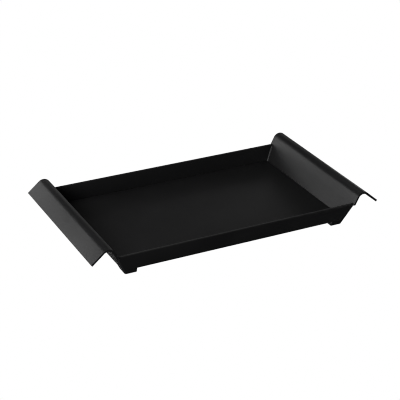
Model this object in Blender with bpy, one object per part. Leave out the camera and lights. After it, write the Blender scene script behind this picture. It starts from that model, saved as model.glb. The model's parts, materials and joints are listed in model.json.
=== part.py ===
"""A shallow sheet-metal serving tray: flat floor, flared walls, a rolled handle at each end, four corner feet.

Metres, +Z up, +X along the tray. The origin is on the surface the tray stands on, under its centre.
"""

import math

import bmesh
import bpy
from mathutils import Vector

# Driving dimensions
OVERALL_LENGTH = 0.4500  # over the tips of the two handle flanges
HANDLE_WIDTH = 0.2440
HANDLE_HEIGHT = 0.0500  # top of the rolled crest
RIM_WIDTH = 0.2413  # over the outer faces of the long walls, at rim height
RIM_HEIGHT = 0.0345
FLOOR_LENGTH = 0.3472  # between the end panels, on top of the floor
BODY_BOTTOM = 0.0075  # lower edge of the walls and underside of the floor
SHEET = 0.0031
SIDE_FLARE = math.radians(15.5)  # lean of the long walls from the vertical
END_FLARE = math.radians(26.7)  # lean of the end panels from the vertical
CREST_RADIUS = 0.0110  # upper surface of the rolled crest
FLANGE_FALL = math.radians(40.35)  # fall of the handle flange below the horizontal
SHOULDER_HEIGHT = 0.0314  # the end panel is at full handle width from here up
CORNER_RADIUS = 0.0028  # outer upright corners of the body
GAP = 0.0003  # seam between two pieces that meet

FOOT_LENGTH = 0.0176  # along X, at the ground
FOOT_WIDTH = 0.0188  # along Y, at the ground
FOOT_BOTTOM = 0.0004  # the pad stands this far proud of the foot
FOOT_CORNER_RADIUS = 0.0015

PAD_RADIUS = 0.0070
PAD_HOLE_RADIUS = 0.0036
PAD_THICKNESS = 0.0019

SCREW_HEAD_RADIUS = 0.0028
SCREW_HEAD_BOTTOM = 0.0010
SCREW_HEAD_TOP = 0.0026
SCREW_SHANK_RADIUS = 0.0015
SCREW_SOCKET_ACROSS = 0.0020  # hexagon socket, across flats
SCREW_SOCKET_DEPTH = 0.0009

BOSS_RADIUS = 0.0035
BOSS_HEIGHT = 0.0018

ARC_STEP = math.radians(6.0)
ROUND_SEGMENTS = 36

# Sizes worked out from the ones above
FLOOR_TOP = BODY_BOTTOM + SHEET
FOOT_TOP = BODY_BOTTOM - GAP
WALL_ACROSS = SHEET / math.cos(SIDE_FLARE)  # a long wall's thickness measured level
END_ACROSS = SHEET / math.cos(END_FLARE)  # an end panel's thickness measured level
SIDE_SEAM = GAP / math.cos(SIDE_FLARE)
END_SEAM = GAP / math.cos(END_FLARE)


def wall_outside(z):
    """Distance of a long wall's outer face from the tray's centre line at height z."""
    return RIM_WIDTH / 2 - (RIM_HEIGHT - z) * math.tan(SIDE_FLARE)


def wall_inside(z):
    return wall_outside(z) - WALL_ACROSS


def end_inside(z):
    """Distance of an end panel's inner face from the tray's centre at height z, below the crest."""
    return FLOOR_LENGTH / 2 + (z - FLOOR_TOP) * math.tan(END_FLARE)


def end_outside(z):
    return end_inside(z) + END_ACROSS


def arc(centre, radius, start, end):
    """Points on a round stretch, from angle start to angle end."""
    steps = max(2, math.ceil(abs(end - start) / ARC_STEP))
    turns = [start + (end - start) * i / steps for i in range(steps + 1)]
    return [Vector((centre[0] + radius * math.cos(a), centre[1] + radius * math.sin(a))) for a in turns]


def corner_arc(x, y, radius):
    """Rounds the outline corner (x, y), from the edge that runs along X to the edge that runs along Y."""
    x_side = math.copysign(1.0, x)
    y_side = math.copysign(1.0, y)
    quarter = arc((0.0, 0.0), radius, math.pi / 2, 0.0)
    return [Vector((x + x_side * (p.x - radius), y + y_side * (p.y - radius))) for p in quarter]


def material(name, colour, roughness, metallic):
    made = bpy.data.materials.new(name)
    made.use_nodes = True
    shader = made.node_tree.nodes["Principled BSDF"]
    shader.inputs["Base Color"].default_value = (*colour, 1.0)
    shader.inputs["Roughness"].default_value = roughness
    shader.inputs["Metallic"].default_value = metallic
    return made


def add_object(name, bm, finish, location=(0.0, 0.0, 0.0)):
    bmesh.ops.recalc_face_normals(bm, faces=bm.faces)
    mesh = bpy.data.meshes.new(name)
    bm.to_mesh(mesh)
    bm.free()
    mesh.materials.append(finish)
    mesh.shade_smooth()
    mesh.set_sharp_from_angle(angle=math.radians(30.0))
    made = bpy.data.objects.new(name, mesh)
    made.location = location
    bpy.context.scene.collection.objects.link(made)


def level_loop(bm, points, z):
    return [bm.verts.new((p[0], p[1], z)) for p in points]


def join_loops(bm, lower, upper):
    """Side faces between two loops; either loop may be a single point on the axis."""
    count = max(len(lower), len(upper))
    for i in range(count):
        j = (i + 1) % count
        corners = [lower[i % len(lower)], lower[j % len(lower)], upper[j % len(upper)], upper[i % len(upper)]]
        bm.faces.new(list(dict.fromkeys(corners)))


def fill_around_hole(bm, outline, hole):
    """Closes the level face between an outline and a round hole in it."""
    edges = []
    for loop in (outline, hole):
        edges += [bm.edges.get((loop[i - 1], loop[i])) for i in range(len(loop))]
    bmesh.ops.triangle_fill(bm, use_beauty=True, edges=edges)


def circle_points(radius):
    turns = [2 * math.pi * i / ROUND_SEGMENTS for i in range(ROUND_SEGMENTS)]
    return [(radius * math.cos(a), radius * math.sin(a)) for a in turns]


def hexagon_points(across_flats):
    """The same number of points as a circle, set out along a hexagon."""
    points = []
    for i in range(ROUND_SEGMENTS):
        turn = 2 * math.pi * i / ROUND_SEGMENTS
        from_flat = (turn + math.pi / 6) % (math.pi / 3) - math.pi / 6
        radius = across_flats / 2 / math.cos(from_flat)
        points.append((radius * math.cos(turn), radius * math.sin(turn)))
    return points


def turned(profile, closed=False):
    """A body of revolution about Z from (radius, z) pairs; closed makes a ring."""
    bm = bmesh.new()
    loops = []
    for radius, z in profile:
        points = circle_points(radius) if radius > 0.0 else [(0.0, 0.0)]
        loops.append(level_loop(bm, points, z))
    if closed:
        loops.append(loops[0])
    for lower, upper in zip(loops, loops[1:]):
        join_loops(bm, lower, upper)
    return bm


def handle_section():
    """Rows of (upper, under) points in the X-Z plane, from the bottom edge over the crest to the flange tip."""
    rows = [(Vector((end_inside(z), z)), Vector((end_outside(z), z))) for z in (BODY_BOTTOM, SHOULDER_HEIGHT)]
    centre_z = HANDLE_HEIGHT - CREST_RADIUS
    bend_z = centre_z + CREST_RADIUS * math.sin(END_FLARE)
    centre = (end_inside(bend_z) + CREST_RADIUS * math.cos(END_FLARE), centre_z)
    sweep = (math.pi - END_FLARE, math.pi / 2 - FLANGE_FALL)
    rows += zip(arc(centre, CREST_RADIUS, *sweep), arc(centre, CREST_RADIUS - SHEET, *sweep))

    upper, under = rows[-1]
    fall = Vector((math.cos(FLANGE_FALL), -math.sin(FLANGE_FALL)))
    reach = (OVERALL_LENGTH / 2 - upper.x) / fall.x
    rows.append((upper + reach * fall, under + reach * fall))
    return rows


def make_handle_panel(name, end, finish):
    """One bent sheet: end wall, leg, rolled crest and falling flange. end is -1 for left, 1 for right."""
    bm = bmesh.new()

    def add_row(points, half_width):
        return [bm.verts.new((end * p.x, y, p.y)) for p in points for y in (-half_width, half_width)]

    def add_span(low, high):
        for a, b in ((0, 1), (3, 2), (2, 0), (1, 3)):
            bm.faces.new((low[a], low[b], high[b], high[a]))

    section = handle_section()
    bottom = add_row(section[0], wall_inside(BODY_BOTTOM) - SIDE_SEAM)
    narrow = add_row(section[1], wall_inside(SHOULDER_HEIGHT) - SIDE_SEAM)
    wide_rows = [add_row(points, HANDLE_WIDTH / 2) for points in section[1:]]
    wide, above = wide_rows[0], wide_rows[1]

    # Below the shoulder the sheet fits between the long walls.
    bm.faces.new((bottom[0], bottom[1], bottom[3], bottom[2]))
    add_span(bottom, narrow)

    # At the shoulder it steps out to the handle's width.
    for a, b in ((0, 2), (1, 3)):
        bm.faces.new((narrow[a], narrow[b], wide[b], wide[a]))
        bm.faces.new((wide[a], wide[b], above[b], above[a]))
    for a, b in ((0, 1), (2, 3)):
        bm.faces.new((wide[a], narrow[a], narrow[b], wide[b], above[b], above[a]))

    for low, high in zip(wide_rows[1:], wide_rows[2:]):
        add_span(low, high)
    tip = wide_rows[-1]
    bm.faces.new((tip[0], tip[1], tip[3], tip[2]))
    add_object(name, bm, finish)


def make_long_wall(name, side, finish):
    """A flared wall with a rounded rim. side is -1 for front, 1 for back."""
    bm = bmesh.new()
    ledge = SHOULDER_HEIGHT - GAP

    # Up to the ledge the wall laps over the end panels.
    loops = []
    for z in (BODY_BOTTOM, ledge):
        right = corner_arc(end_outside(z), side * wall_outside(z), CORNER_RADIUS)
        right.append(Vector((end_outside(z), side * wall_inside(z))))
        left = [Vector((-p.x, p.y)) for p in reversed(right)]
        loops.append(level_loop(bm, right + left, z))
    low, high = loops
    half = len(low) // 2

    # Above the ledge it stops against the inner faces of the end panels.
    rim_z = RIM_HEIGHT - SHEET / 2
    rim_centre = (wall_outside(rim_z) - WALL_ACROSS / 2, rim_z)
    section = [Vector((wall_outside(ledge), ledge))]
    section += arc(rim_centre, SHEET / 2, -SIDE_FLARE, math.pi - SIDE_FLARE)
    section.append(Vector((wall_inside(ledge), ledge)))
    reach = [end_inside(p.y) - END_SEAM for p in section]
    right_end = [bm.verts.new((x, side * p.x, p.y)) for x, p in zip(reach, section)]
    left_end = [bm.verts.new((-x, side * p.x, p.y)) for x, p in zip(reach, section)]

    bm.faces.new(low)
    for i in range(len(low)):
        j = (i + 1) % len(low)
        if i == half - 1:
            bm.faces.new((low[i], low[j], high[j], left_end[-1], right_end[-1], high[i]))
        elif j == 0:
            bm.faces.new((low[i], low[j], high[j], right_end[0], left_end[0], high[i]))
        else:
            bm.faces.new((low[i], low[j], high[j], high[i]))
    bm.faces.new([*high[:half], right_end[-1], right_end[0]])
    bm.faces.new([*high[half:], left_end[0], left_end[-1]])
    bm.faces.new(right_end)
    bm.faces.new(left_end)
    for i in range(len(section) - 1):
        bm.faces.new((right_end[i], right_end[i + 1], left_end[i + 1], left_end[i]))
    add_object(name, bm, finish)


def make_floor(finish):
    """The floor fills the space between the four walls, its edges cut to their lean."""
    bm = bmesh.new()
    loops = []
    for z in (BODY_BOTTOM, FLOOR_TOP):
        x = end_inside(z) - END_SEAM
        y = wall_inside(z) - SIDE_SEAM
        loops.append(level_loop(bm, ((-x, -y), (x, -y), (x, y), (-x, y)), z))
        bm.faces.new(loops[-1])
    join_loops(bm, *loops)
    add_object("floor_panel", bm, finish)


def make_foot(name, end, side, centre, finish):
    """A corner foot, its outer sides in line with the walls, with a stepped hole for pad, screw and boss."""
    pad_seat = PAD_THICKNESS + GAP
    head_seat = SCREW_HEAD_TOP + GAP
    boss_seat = FOOT_TOP - BOSS_HEIGHT - GAP
    steps = [
        (PAD_RADIUS + GAP, FOOT_BOTTOM),
        (PAD_RADIUS + GAP, pad_seat),
        (SCREW_HEAD_RADIUS + GAP, pad_seat),
        (SCREW_HEAD_RADIUS + GAP, head_seat),
        (SCREW_SHANK_RADIUS + GAP, head_seat),
        (SCREW_SHANK_RADIUS + GAP, boss_seat),
        (BOSS_RADIUS + GAP, boss_seat),
        (BOSS_RADIUS + GAP, FOOT_TOP),
    ]
    bm = turned(steps)
    bm.verts.ensure_lookup_table()
    bottom_hole = bm.verts[:ROUND_SEGMENTS]
    top_hole = bm.verts[-ROUND_SEGMENTS:]

    outlines = []
    for z in (FOOT_BOTTOM, FOOT_TOP):
        outer_x = end * end_outside(z)
        inner_x = end * (end_outside(0.0) - FOOT_LENGTH)
        outer_y = side * wall_outside(z)
        inner_y = side * (wall_outside(0.0) - FOOT_WIDTH)
        outline = foot_corner(outer_x, outer_y, centre, CORNER_RADIUS)
        outline += reversed(foot_corner(outer_x, inner_y, centre, FOOT_CORNER_RADIUS))
        outline += foot_corner(inner_x, inner_y, centre, FOOT_CORNER_RADIUS)
        outline += reversed(foot_corner(inner_x, outer_y, centre, FOOT_CORNER_RADIUS))
        outlines.append(level_loop(bm, outline, z))
    join_loops(bm, *outlines)
    fill_around_hole(bm, outlines[0], bottom_hole)
    fill_around_hole(bm, outlines[1], top_hole)
    add_object(name, bm, finish, centre)


def foot_corner(x, y, centre, radius):
    """One rounded corner of a foot's outline, measured from the foot's own centre."""
    return corner_arc(x - centre.x, y - centre.y, radius)


def make_pad(name, centre, finish):
    edge = 0.0003
    profile = [
        (PAD_HOLE_RADIUS + edge, 0.0),
        (PAD_RADIUS - edge, 0.0),
        (PAD_RADIUS, edge),
        (PAD_RADIUS, PAD_THICKNESS),
        (PAD_HOLE_RADIUS, PAD_THICKNESS),
        (PAD_HOLE_RADIUS, edge),
    ]
    add_object(name, turned(profile, closed=True), finish, centre)


def make_screw(name, centre, finish):
    """A socket pan-head screw, head down."""
    edge = 0.0005
    chamfer = 0.0003
    shank_top = FOOT_TOP - GAP
    bm = turned([
        (SCREW_HEAD_RADIUS - edge, SCREW_HEAD_BOTTOM),
        (SCREW_HEAD_RADIUS - edge * 0.3, SCREW_HEAD_BOTTOM + edge * 0.3),
        (SCREW_HEAD_RADIUS, SCREW_HEAD_BOTTOM + edge),
        (SCREW_HEAD_RADIUS, SCREW_HEAD_TOP),
        (SCREW_SHANK_RADIUS, SCREW_HEAD_TOP),
        (SCREW_SHANK_RADIUS, shank_top - chamfer),
        (SCREW_SHANK_RADIUS - chamfer, shank_top),
        (0.0, shank_top),
    ])
    bm.verts.ensure_lookup_table()
    head_edge = bm.verts[:ROUND_SEGMENTS]
    socket = hexagon_points(SCREW_SOCKET_ACROSS)
    mouth = level_loop(bm, socket, SCREW_HEAD_BOTTOM)
    base = level_loop(bm, socket, SCREW_HEAD_BOTTOM + SCREW_SOCKET_DEPTH)
    join_loops(bm, head_edge, mouth)
    join_loops(bm, mouth, base)
    bm.faces.new(base)
    add_object(name, bm, finish, centre)


def make_boss(name, centre, finish):
    """The tapped ring under the floor that the foot's screw runs into."""
    hole = SCREW_SHANK_RADIUS + GAP
    bottom = FOOT_TOP - BOSS_HEIGHT
    profile = [(hole, bottom), (BOSS_RADIUS, bottom), (BOSS_RADIUS, FOOT_TOP), (hole, FOOT_TOP)]
    add_object(name, turned(profile, closed=True), finish, centre)


def build():
    for old in list(bpy.data.objects):
        bpy.data.objects.remove(old, do_unlink=True)

    tray_black = material("tray_black", (0.012, 0.012, 0.013), 0.45, 0.0)
    foot_black = material("foot_black", (0.012, 0.012, 0.013), 0.55, 0.0)
    pad_rubber = material("pad_rubber", (0.020, 0.020, 0.020), 0.85, 0.0)
    zinc_steel = material("zinc_steel", (0.550, 0.560, 0.580), 0.35, 1.0)

    make_floor(tray_black)
    for name, side in (("front", -1), ("back", 1)):
        make_long_wall(f"{name}_wall", side, tray_black)
    for name, end in (("left", -1), ("right", 1)):
        make_handle_panel(f"{name}_handle_panel", end, tray_black)

    centre_x = end_outside(0.0) - FOOT_LENGTH / 2
    centre_y = wall_outside(0.0) - FOOT_WIDTH / 2
    for side_name, side in (("front", -1), ("back", 1)):
        for end_name, end in (("left", -1), ("right", 1)):
            corner = f"{side_name}_{end_name}"
            centre = Vector((end * centre_x, side * centre_y, 0.0))
            make_foot(f"foot_{corner}", end, side, centre, foot_black)
            make_pad(f"foot_pad_{corner}", centre, pad_rubber)
            make_screw(f"foot_screw_{corner}", centre, zinc_steel)
            make_boss(f"foot_boss_{corner}", centre, tray_black)


build()
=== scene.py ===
"""Looks for the serving tray: finishes, soft edges, camera, floor and studio light around the CAD frame."""

import json
import math

import bmesh
import bpy
from mathutils import Matrix, Vector
from mathutils.bvhtree import BVHTree


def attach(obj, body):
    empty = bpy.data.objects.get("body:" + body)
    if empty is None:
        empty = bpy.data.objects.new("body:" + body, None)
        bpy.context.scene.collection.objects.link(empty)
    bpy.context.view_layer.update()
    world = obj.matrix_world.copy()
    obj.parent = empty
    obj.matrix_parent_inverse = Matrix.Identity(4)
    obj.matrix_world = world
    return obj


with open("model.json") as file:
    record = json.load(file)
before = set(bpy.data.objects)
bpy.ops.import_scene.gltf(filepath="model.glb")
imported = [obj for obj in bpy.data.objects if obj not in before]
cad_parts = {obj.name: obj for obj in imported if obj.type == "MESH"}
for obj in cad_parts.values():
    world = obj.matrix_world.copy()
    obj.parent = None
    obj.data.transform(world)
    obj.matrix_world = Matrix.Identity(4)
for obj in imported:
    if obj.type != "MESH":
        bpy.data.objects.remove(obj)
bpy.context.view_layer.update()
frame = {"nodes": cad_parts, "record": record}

# Camera, in metres, degrees and, for the lens and sensor, millimetres
CAMERA_PLACE = Vector((-0.7511, -1.4706, 0.8361))
CAMERA_AZIMUTH = -26.96
CAMERA_ELEVATION = 26.12
CAMERA_ROLL = 0.478
CAMERA_LENS = 112.90
CAMERA_SENSOR = 36.0
PIXEL_FILTER = 1.1  # in pixels, for edges as crisp as a product picture's

# Radius of the rounded edges, in metres
SHEET_EDGE = 0.0003
SEAM_EDGE = 0.00025
FOOT_EDGE = 0.0003
SCREW_EDGE = 0.0001
EDGE_SEGMENTS = 3
SHARP_ANGLE = math.radians(35.0)  # edges that turn more than this are rounded
FLAT_ANGLE = math.radians(0.2)
REJOIN_DISTANCE = 0.000005

# The rounded weld in each upright inner corner of the tray, in metres
BEAD_RADIUS = 0.0022
BEAD_STEPS = 8
BEAD_TOP_SHARE = 0.3  # of the radius, left where the weld runs out under the rim
BEAD_OVERLAP = 0.00025  # how far the weld reaches into the seam

# Powder coat
COAT_ROUGHNESS = 0.40
COAT_DARK = (0.010, 0.010, 0.0105)
COAT_LIGHT = (0.013, 0.013, 0.0135)
RUBBED_EDGE = (0.016, 0.016, 0.016)
# Painted highlight: the top of each wall is coloured this much lighter than the coat, standing for light
# caught along its rim
PAINTED_RIM_HIGHLIGHT = (0.035, 0.035, 0.035)
RIM_HIGHLIGHT_DEPTH = 0.0016  # how far down from the top a wall's rim gets its painted highlight and its smoother roughness
EDGE_RUB_WIDTH = 0.0005

FLOOR_SIZE = 60.0
FLOOR_DROP = 0.0001  # below the pads, so that the two surfaces don't coincide

# Square softboxes, all turned to the tray's centre. A ring has its elevation in degrees, its distance and
# edge length in metres, and its boxes as azimuth: watts, where azimuth 0 is behind the tray and 90 to its
# right. The ring below the floor stands for light thrown back up by the table.
SOFTBOX_RINGS = {
    "key": (20.0, 2.0, 0.6, {-135.0: 8.6}),
    "fill": (34.0, 2.0, 1.0, {-90.0: 7.4, 30.0: 0.2, 120.0: 1.5}),
    "horizon": (6.0, 2.0, 1.0, {-60.0: 2.8, -30.0: 3.9, 0.0: 0.6, 30.0: 0.67, 60.0: 2.4}),
    "overhead": (62.0, 2.0, 1.0, {0.0: 0.7, 60.0: 1.55}),
    "near": (30.0, 0.8, 0.3, {-120.0: 0.9, -60.0: 0.56}),
    "table": (-22.0, 2.0, 1.0, {-120.0: 17.0, 0.0: 6.2, 90.0: 4.6}),
}

WHITE = (1.0, 1.0, 1.0, 1.0)


def node(tree, kind, **sockets):
    """Adds a shader node; keyword names are its input sockets, with _ for a space."""
    made = tree.nodes.new(kind)
    for name, value in sockets.items():
        made.inputs[name.replace("_", " ")].default_value = value
    return made


def ramp(tree, source, low, high, low_value, high_value):
    """Maps source from [low, high] to [low_value, high_value]."""
    made = node(
        tree,
        "ShaderNodeMapRange",
        From_Min=low,
        From_Max=high,
        To_Min=low_value,
        To_Max=high_value,
    )
    tree.links.new(source, made.inputs["Value"])
    return made.outputs["Result"]


def noise(tree, coordinates, scale, detail=2.0):
    """Soft noise; scale is in waves per metre."""
    made = node(tree, "ShaderNodeTexNoise", Scale=scale, Detail=detail)
    tree.links.new(coordinates, made.inputs["Vector"])
    return made.outputs["Fac"]


def bump(tree, height, distance, under=None):
    """Raises the surface by up to distance, in metres, on top of the bump given as under."""
    made = node(tree, "ShaderNodeBump", Distance=distance, Strength=1.0)
    tree.links.new(height, made.inputs["Height"])
    if under is not None:
        tree.links.new(under, made.inputs["Normal"])
    return made.outputs["Normal"]


def start_material(name, metallic=0.0):
    """A new material with its node tree, its shader and the object coordinates in metres."""
    made = bpy.data.materials.new(name)
    made.use_nodes = True
    tree = made.node_tree
    shader = tree.nodes["Principled BSDF"]
    shader.inputs["Metallic"].default_value = metallic
    coordinates = tree.nodes.new("ShaderNodeTexCoord").outputs["Object"]
    return made, tree, shader, coordinates


def mix_colours(tree, factor, first, second):
    """Goes from the first colour to the second as factor goes from 0 to 1."""
    made = tree.nodes.new("ShaderNodeMix")
    made.data_type = "RGBA"
    made.inputs["A"].default_value = (*first, 1.0)
    made.inputs["B"].default_value = (*second, 1.0)
    tree.links.new(factor, made.inputs["Factor"])
    return made.outputs["Result"]


def edge_mask(tree, width):
    """1 close to an edge of the shape, 0 on its flat and slowly curved faces."""
    rounded = tree.nodes.new("ShaderNodeBevel")
    rounded.samples = 4
    rounded.inputs["Radius"].default_value = width
    plain = tree.nodes.new("ShaderNodeNewGeometry")
    match = tree.nodes.new("ShaderNodeVectorMath")
    match.operation = "DOT_PRODUCT"
    tree.links.new(rounded.outputs["Normal"], match.inputs[0])
    tree.links.new(plain.outputs["Normal"], match.inputs[1])
    return ramp(tree, match.outputs["Value"], 0.99, 0.85, 0.0, 1.0)


def multiply(tree, first, second):
    made = tree.nodes.new("ShaderNodeMath")
    made.operation = "MULTIPLY"
    tree.links.new(first, made.inputs[0])
    tree.links.new(second, made.inputs[1])
    return made.outputs["Value"]


def blend_wear_and_highlight(tree, shader, mask, colour, roughness, wear_and_highlight_colour, rubbed_roughness):
    """Blends the coat's colour and roughness towards the given ones where mask is 1: worn ones on the edges,
    and on a wall's rim a painted highlight colour with a smoother roughness.
    """
    tone = tree.nodes.new("ShaderNodeMix")
    tone.data_type = "RGBA"
    tone.inputs["B"].default_value = (*wear_and_highlight_colour, 1.0)
    tree.links.new(mask, tone.inputs["Factor"])
    tree.links.new(colour, tone.inputs["A"])
    tree.links.new(tone.outputs["Result"], shader.inputs["Base Color"])
    gloss = tree.nodes.new("ShaderNodeMix")
    gloss.inputs["B"].default_value = rubbed_roughness
    tree.links.new(mask, gloss.inputs["Factor"])
    tree.links.new(roughness, gloss.inputs["A"])
    tree.links.new(gloss.outputs["Result"], shader.inputs["Roughness"])


def worn_edges(tree, coordinates):
    """1 where an edge is rubbed most; the wear comes and goes along the edge."""
    patches = ramp(tree, noise(tree, coordinates, 90.0), 0.4, 0.6, 0.1, 0.5)
    return multiply(tree, edge_mask(tree, EDGE_RUB_WIDTH), patches)


def rim_highlight_and_polish(tree, coordinates, rim_height):
    """1 on top of the rim, 0 from the set rim depth below it; marks where the rim's painted highlight and its
    smoother coat lie.
    """
    split = tree.nodes.new("ShaderNodeSeparateXYZ")
    tree.links.new(coordinates, split.inputs["Vector"])
    return ramp(tree, split.outputs["Z"], rim_height - RIM_HIGHLIGHT_DEPTH, rim_height, 0.0, 1.0)


def powder_coat(name, rim_height=None):
    """Matte black powder coat: orange peel, a slow drift in tone, rubbed edges or, on a wall, a rim with a
    painted highlight and a smoother finish.
    """
    made, tree, shader, coordinates = start_material(name)
    drift = noise(tree, coordinates, 14.0)
    grain = noise(tree, coordinates, 1500.0, detail=3.0)
    peel = noise(tree, coordinates, 420.0)
    colour = mix_colours(tree, ramp(tree, drift, 0.35, 0.65, 0.0, 1.0), COAT_DARK, COAT_LIGHT)
    roughness = ramp(tree, grain, 0.3, 0.7, COAT_ROUGHNESS - 0.04, COAT_ROUGHNESS + 0.04)
    if rim_height is None:
        mask = worn_edges(tree, coordinates)
        blend_wear_and_highlight(tree, shader, mask, colour, roughness, RUBBED_EDGE, COAT_ROUGHNESS - 0.06)
    else:
        # Painted highlight: the rim's lighter colour stands for light caught along its top; its roughness is
        # lowered as well
        mask = rim_highlight_and_polish(tree, coordinates, rim_height)
        blend_wear_and_highlight(tree, shader, mask, colour, roughness, PAINTED_RIM_HIGHLIGHT, COAT_ROUGHNESS - 0.08)
    fine = bump(tree, grain, 0.00003)
    tree.links.new(bump(tree, peel, 0.00006, under=fine), shader.inputs["Normal"])
    return made


def moulded_plastic():
    """Black nylon of the feet: fine spark-eroded grain with a low sheen."""
    dark = (0.007, 0.007, 0.0075)
    light = (0.011, 0.011, 0.0115)
    made, tree, shader, coordinates = start_material("black_moulded_nylon")
    grain = noise(tree, coordinates, 2600.0, detail=4.0)
    colour = mix_colours(tree, ramp(tree, grain, 0.3, 0.7, 0.0, 1.0), dark, light)
    tree.links.new(colour, shader.inputs["Base Color"])
    tree.links.new(ramp(tree, grain, 0.3, 0.7, 0.38, 0.46), shader.inputs["Roughness"])
    shader.inputs["Specular IOR Level"].default_value = 0.25
    tree.links.new(bump(tree, grain, 0.00005), shader.inputs["Normal"])
    return made


def soft_rubber():
    """Anti-slip rubber with a dusty, slightly pitted surface."""
    clean = (0.007, 0.007, 0.007)
    dusty = (0.018, 0.018, 0.017)
    made, tree, shader, coordinates = start_material("soft_black_rubber")
    grain = noise(tree, coordinates, 1800.0, detail=3.0)
    dust = noise(tree, coordinates, 260.0, detail=4.0)
    colour = mix_colours(tree, ramp(tree, dust, 0.45, 0.75, 0.0, 1.0), clean, dusty)
    tree.links.new(colour, shader.inputs["Base Color"])
    tree.links.new(ramp(tree, dust, 0.3, 0.7, 0.78, 0.92), shader.inputs["Roughness"])
    tree.links.new(bump(tree, grain, 0.00006), shader.inputs["Normal"])
    return made


def zinc_plate():
    """Bright zinc plate with a faint cloudy tone."""
    dull = (0.50, 0.51, 0.53)
    bright = (0.64, 0.64, 0.65)
    made, tree, shader, coordinates = start_material("zinc_plated_steel", metallic=1.0)
    cloud = noise(tree, coordinates, 700.0, detail=3.0)
    colour = mix_colours(tree, ramp(tree, cloud, 0.3, 0.7, 0.0, 1.0), dull, bright)
    tree.links.new(colour, shader.inputs["Base Color"])
    tree.links.new(ramp(tree, cloud, 0.3, 0.7, 0.26, 0.40), shader.inputs["Roughness"])
    tree.links.new(bump(tree, cloud, 0.00001), shader.inputs["Normal"])
    return made


def soften(piece, width):
    """Rejoins the piece's split corners, drops its flat triangulation and rounds its edges."""
    weld = piece.modifiers.new("rejoin", "WELD")
    weld.merge_threshold = REJOIN_DISTANCE
    flatten = piece.modifiers.new("flat_faces", "DECIMATE")
    flatten.decimate_type = "DISSOLVE"
    flatten.angle_limit = FLAT_ANGLE
    bevel = piece.modifiers.new("rounded_edges", "BEVEL")
    bevel.width = width
    bevel.segments = EDGE_SEGMENTS
    bevel.limit_method = "ANGLE"
    bevel.angle_limit = SHARP_ANGLE
    bevel.harden_normals = True
    piece.data.shade_smooth()


def top_of(name):
    """Height of the highest point of a CAD node."""
    return max(corner.co.z for corner in frame["nodes"][name].data.vertices)


def edge_width(name):
    """How far a node's edges are rounded."""
    widths = {
        "foot_pad": SEAM_EDGE,
        "foot_screw": SCREW_EDGE,
        "foot_boss": SEAM_EDGE,
        "foot": FOOT_EDGE,
        "floor_panel": SEAM_EDGE,
    }
    return next((widths[start] for start in widths if name.startswith(start)), SHEET_EDGE)


def finish_nodes(coat):
    """Gives every CAD node its finish and soft edges."""
    finishes = {
        "tray_black": coat,
        "foot_black": moulded_plastic(),
        "pad_rubber": soft_rubber(),
        "zinc_steel": zinc_plate(),
    }
    # The walls' coat carries the painted highlight along their rims
    wall_coat = powder_coat("matte_black_powder_coat_wall", top_of("front_wall"))
    for part in frame["record"]["subparts"]:
        name = part["node"]
        piece = frame["nodes"][name]
        piece.data.materials.clear()
        piece.data.materials.append(wall_coat if name.endswith("_wall") else finishes[part["material_slot"]])
        soften(piece, edge_width(name))


def surface_of(name):
    """The CAD surface of a node, for measuring where its faces are."""
    mesh = frame["nodes"][name].data
    corners = [corner.co for corner in mesh.vertices]
    return BVHTree.FromPolygons(corners, [face.vertices for face in mesh.polygons])


def bead_outline(panel_x, wall_y, radius):
    """The bead's cross-section at the corner (panel_x, wall_y): a hollow quarter circle and the corner."""
    turns = [math.pi / 2 * i / BEAD_STEPS for i in range(BEAD_STEPS + 1)]
    points = [(panel_x - radius * (1 - math.cos(a)), wall_y - radius * (1 - math.sin(a))) for a in turns]
    points.append((panel_x + BEAD_OVERLAP, wall_y + BEAD_OVERLAP))
    return points


def add_corner_bead(end_name, end, side_name, side, finish):
    """The rounded weld where a long wall's inner face meets an end panel's, from the floor up to the rim."""
    panel = surface_of(f"{end_name}_handle_panel")
    wall = surface_of(f"{side_name}_wall")
    top = top_of("front_wall") - RIM_HIGHLIGHT_DEPTH
    levels = [
        (top_of("floor_panel"), BEAD_RADIUS),
        (top - BEAD_RADIUS, BEAD_RADIUS),
        (top, BEAD_RADIUS * BEAD_TOP_SHARE),
    ]
    bm = bmesh.new()
    loops = []
    for z, radius in levels:
        start = Vector((0.0, 0.0, z))
        panel_x = abs(panel.ray_cast(start, Vector((end, 0.0, 0.0)))[0].x)
        wall_y = abs(wall.ray_cast(start, Vector((0.0, side, 0.0)))[0].y)
        outline = bead_outline(panel_x, wall_y, radius)
        loops.append([bm.verts.new((end * x, side * y, z)) for x, y in outline])
    for lower, upper in zip(loops, loops[1:]):
        for i in range(len(lower)):
            bm.faces.new((lower[i - 1], lower[i], upper[i], upper[i - 1]))
    bm.faces.new(loops[0])
    bm.faces.new(loops[-1])
    bmesh.ops.recalc_face_normals(bm, faces=bm.faces)

    name = f"corner_bead_{side_name}_{end_name}"
    mesh = bpy.data.meshes.new(name)
    bm.to_mesh(mesh)
    bm.free()
    mesh.shade_smooth()
    mesh.set_sharp_from_angle(angle=math.radians(30.0))
    mesh.materials.append(finish)
    bead = bpy.data.objects.new(name, mesh)
    bpy.context.scene.collection.objects.link(bead)
    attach(bead, "root")


def add_camera():
    """The camera of the photograph, placed and turned by the named values at the top."""
    azimuth = math.radians(CAMERA_AZIMUTH)
    elevation = math.radians(CAMERA_ELEVATION)
    back = Vector((
        math.sin(azimuth) * math.cos(elevation),
        -math.cos(azimuth) * math.cos(elevation),
        math.sin(elevation),
    ))
    right = Vector((math.cos(azimuth), math.sin(azimuth), 0.0))
    up = back.cross(right)
    turn = Matrix((right, up, back)).transposed() @ Matrix.Rotation(math.radians(CAMERA_ROLL), 3, "Z")
    data = bpy.data.cameras.new("camera")
    data.lens = CAMERA_LENS
    data.sensor_width = CAMERA_SENSOR
    camera = bpy.data.objects.new("camera", data)
    camera.matrix_world = Matrix.Translation(CAMERA_PLACE) @ turn.to_4x4()
    bpy.context.scene.collection.objects.link(camera)
    bpy.context.scene.camera = camera


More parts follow.
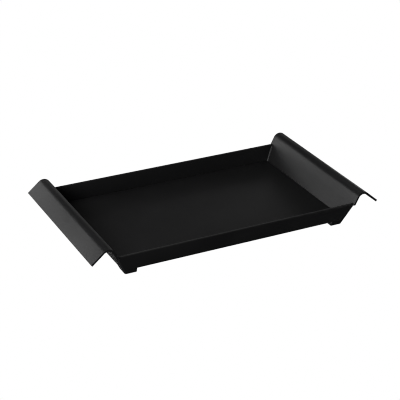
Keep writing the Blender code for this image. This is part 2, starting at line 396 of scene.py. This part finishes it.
def add_floor():
    """An evenly white floor, without shadow or reflection, as a cut-out product picture has it."""
    mesh = bpy.data.meshes.new("floor")
    bm = bmesh.new()
    half = FLOOR_SIZE / 2
    corners = ((-half, -half), (half, -half), (half, half), (-half, half))
    bm.faces.new([bm.verts.new((x, y, -FLOOR_DROP)) for x, y in corners])
    bm.to_mesh(mesh)
    bm.free()
    made = bpy.data.materials.new("pale_floor")
    made.use_nodes = True
    shader = made.node_tree.nodes["Principled BSDF"]
    shader.inputs["Base Color"].default_value = (0.0, 0.0, 0.0, 1.0)
    shader.inputs["Specular IOR Level"].default_value = 0.0
    shader.inputs["Emission Color"].default_value = WHITE
    shader.inputs["Emission Strength"].default_value = 1.0
    mesh.materials.append(made)
    floor = bpy.data.objects.new("floor", mesh)
    floor.visible_diffuse = False
    floor.visible_glossy = False
    floor.visible_shadow = False
    bpy.context.scene.collection.objects.link(floor)


def add_world():
    """White to the camera, so that it runs on from the floor, and dark to everything else."""
    world = bpy.data.worlds.new("studio")
    world.use_nodes = True
    tree = world.node_tree
    backdrop = tree.nodes["Background"]
    backdrop.inputs["Color"].default_value = WHITE
    path = tree.nodes.new("ShaderNodeLightPath")
    tree.links.new(path.outputs["Is Camera Ray"], backdrop.inputs["Strength"])
    bpy.context.scene.world = world


def add_softbox(name, azimuth, elevation, distance, size, power):
    """A square light that the camera doesn't see, turned to the tray's centre."""
    a = math.radians(azimuth)
    e = math.radians(elevation)
    away = Vector((math.sin(a) * math.cos(e), math.cos(a) * math.cos(e), math.sin(e)))
    data = bpy.data.lights.new(name, "AREA")
    data.shape = "SQUARE"
    data.size = size
    data.energy = power
    box = bpy.data.objects.new(name, data)
    box.location = away * distance
    box.rotation_mode = "QUATERNION"
    box.rotation_quaternion = away.to_track_quat("Z", "Y")
    box.visible_camera = False
    bpy.context.scene.collection.objects.link(box)


def add_softboxes():
    for ring, (elevation, distance, size, boxes) in SOFTBOX_RINGS.items():
        for azimuth, power in boxes.items():
            add_softbox(f"{ring}_{azimuth:.0f}", azimuth, elevation, distance, size, power)


def build():
    coat = powder_coat("matte_black_powder_coat")
    finish_nodes(coat)
    for side_name, side in (("front", -1), ("back", 1)):
        for end_name, end in (("left", -1), ("right", 1)):
            add_corner_bead(end_name, end, side_name, side, coat)
    add_camera()
    add_floor()
    add_world()
    add_softboxes()
    bpy.context.scene.view_settings.view_transform = "Standard"
    bpy.context.scene.cycles.filter_width = PIXEL_FILTER


build()
